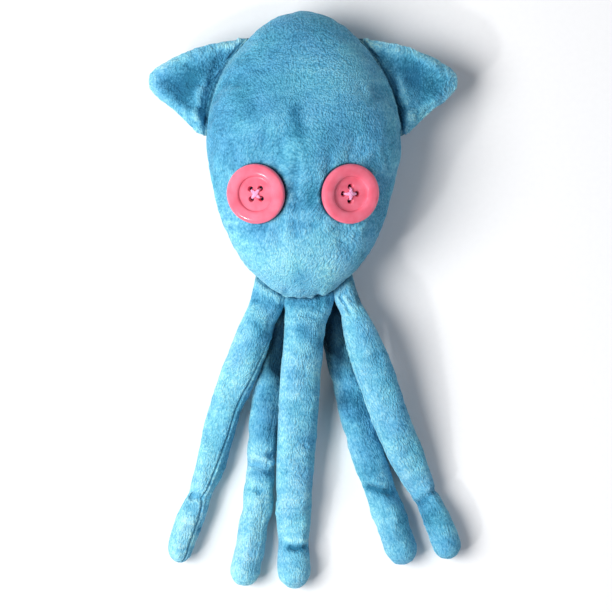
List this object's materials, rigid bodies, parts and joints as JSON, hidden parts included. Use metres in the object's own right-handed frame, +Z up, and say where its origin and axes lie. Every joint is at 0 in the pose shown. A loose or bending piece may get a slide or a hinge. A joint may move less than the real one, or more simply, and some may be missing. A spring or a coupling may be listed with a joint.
{
  "type": "plush squid",
  "caption": "Stuffed plush squid with side fins, long trailing limbs and sewn-on button eyes, lying on its back; a soft toy to hold and cuddle.",
  "frame": {"origin": "middle of the toy's overall box, on the surface that it lies on", "axes": "+Y from the limb tips to the tip of the mantle, +X across to the fin on the right of the picture, +Z up out of the front, where the buttons are"},
  "size_m": [0.1796, 0.33, 0.0655],
  "materials": {
    "blue_plush": "short-pile minky plush with a brushed nap",
    "coral_plastic": "polished moulded button",
    "pink_thread": "thick sewing thread"
  },
  "bodies": {
    "root": {"mantle": "blue_plush", "fin_left": "blue_plush", "fin_right": "blue_plush", "arm_centre": "blue_plush", "tentacle_left": "blue_plush", "tentacle_right": "blue_plush", "arm_back_left": "blue_plush", "arm_back_right": "blue_plush", "button_left": "coral_plastic", "button_right": "coral_plastic", "button_thread_left": "pink_thread", "button_thread_right": "pink_thread"}
  },
  "joints": []
}
